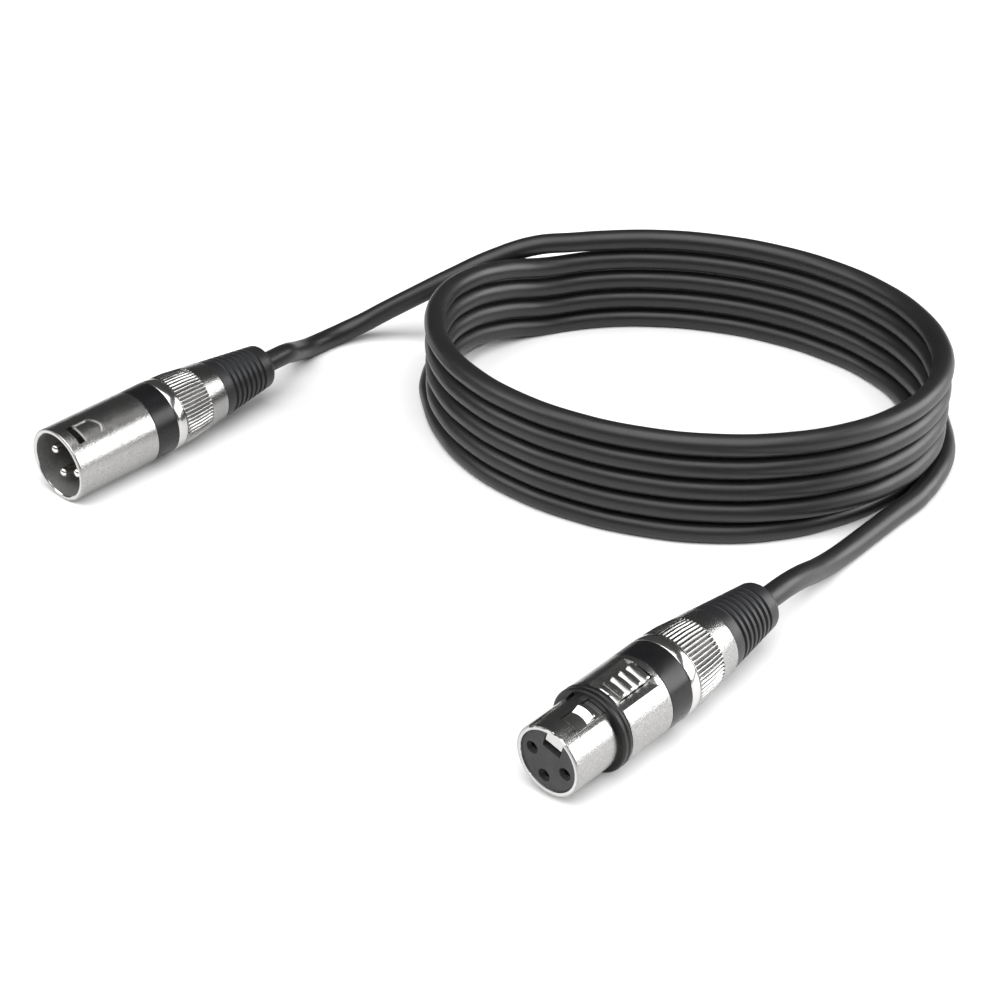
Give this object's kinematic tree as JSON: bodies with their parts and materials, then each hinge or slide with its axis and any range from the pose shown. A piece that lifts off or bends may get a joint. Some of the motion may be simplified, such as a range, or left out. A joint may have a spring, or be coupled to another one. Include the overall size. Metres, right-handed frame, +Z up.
{
  "type": "xlr cable coil",
  "caption": "Audio lead lying in a round coil, with a latching socket plug at one end and a pin plug at the other.",
  "frame": {"origin": "middle of the box round the two plugs, on the surface they lie on", "axes": "+Z up; both plugs lie along X with their noses towards -X, the male plug at +Y and the female plug at -Y, the coil towards +X"},
  "size_m": [0.1964, 0.1797, 0.029],
  "materials": {
    "nickel": "satin nickel plate on cast zinc",
    "latch_metal": "bright nickel plate",
    "steel": "plain spring steel",
    "contact_metal": "silver plated brass",
    "carrier_plastic": "moulded, dull black",
    "ring_plastic": "moulded, semi-matt black",
    "clamp_plastic": "moulded, dull black",
    "boot_rubber": "soft matt black",
    "ring_rubber": "soft semi-matt black",
    "cord_rubber": "smooth black jacket with a dull shine",
    "wire_grey": "plain sleeve",
    "wire_red": "plain sleeve",
    "wire_white": "plain sleeve"
  },
  "bodies": {
    "cable": {"male_shell": "nickel", "male_insert": "carrier_plastic", "male_pin_1": "contact_metal", "male_pin_2": "contact_metal", "male_pin_3": "contact_metal", "male_coding_ring": "ring_plastic", "male_chuck": "clamp_plastic", "male_wire_1": "wire_grey", "male_wire_2": "wire_red", "male_wire_3": "wire_white", "female_shell": "nickel", "female_insert": "carrier_plastic", "female_socket_1": "contact_metal", "female_socket_2": "contact_metal", "female_socket_3": "contact_metal", "female_latch_pin": "steel", "female_latch_spring": "steel", "female_ring": "ring_rubber", "female_coding_ring": "ring_plastic", "female_chuck": "clamp_plastic", "female_wire_1": "wire_grey", "female_wire_2": "wire_red", "female_wire_3": "wire_white", "cord_coil": "cord_rubber", "cord_male_run": "cord_rubber", "cord_female_run": "cord_rubber"},
    "male_boot": {"male_boot": "boot_rubber"},
    "male_nut": {"male_nut": "nickel"},
    "female_boot": {"female_boot": "boot_rubber"},
    "female_nut": {"female_nut": "nickel"},
    "latch": {"female_latch": "latch_metal"}
  },
  "joints": [
    {"name": "male_boot_slide", "type": "slide", "parent": "cable", "child": "male_boot", "axis": [1, 0, 0], "range_m": [0, 0.0025]},
    {"name": "male_nut_turn", "type": "hinge", "parent": "male_boot", "child": "male_nut", "pos_m": [0, 0.08, 0.0095], "axis": [1, 0, 0], "range_deg": [0, 900]},
    {"name": "female_boot_slide", "type": "slide", "parent": "cable", "child": "female_boot", "axis": [1, 0, 0], "range_m": [0, 0.0025]},
    {"name": "female_nut_turn", "type": "hinge", "parent": "female_boot", "child": "female_nut", "pos_m": [0, -0.08, 0.0096], "axis": [1, 0, 0], "range_deg": [0, 900]},
    {"name": "latch_press", "type": "hinge", "parent": "cable", "child": "latch", "pos_m": [-0.0117, -0.08155, 0.01581], "axis": [0, -0.9703, -0.2419], "range_deg": [0, 3.5], "stiffness_Nm_per_rad": 0.3, "springref_deg": -5.73, "deforming": ["female_latch_spring"]}
  ],
  "couplings": [
    {"joint": "male_nut_turn", "follows": "male_boot_slide", "rad_per_m": 6283.2},
    {"joint": "female_nut_turn", "follows": "female_boot_slide", "rad_per_m": 6283.2}
  ]
}
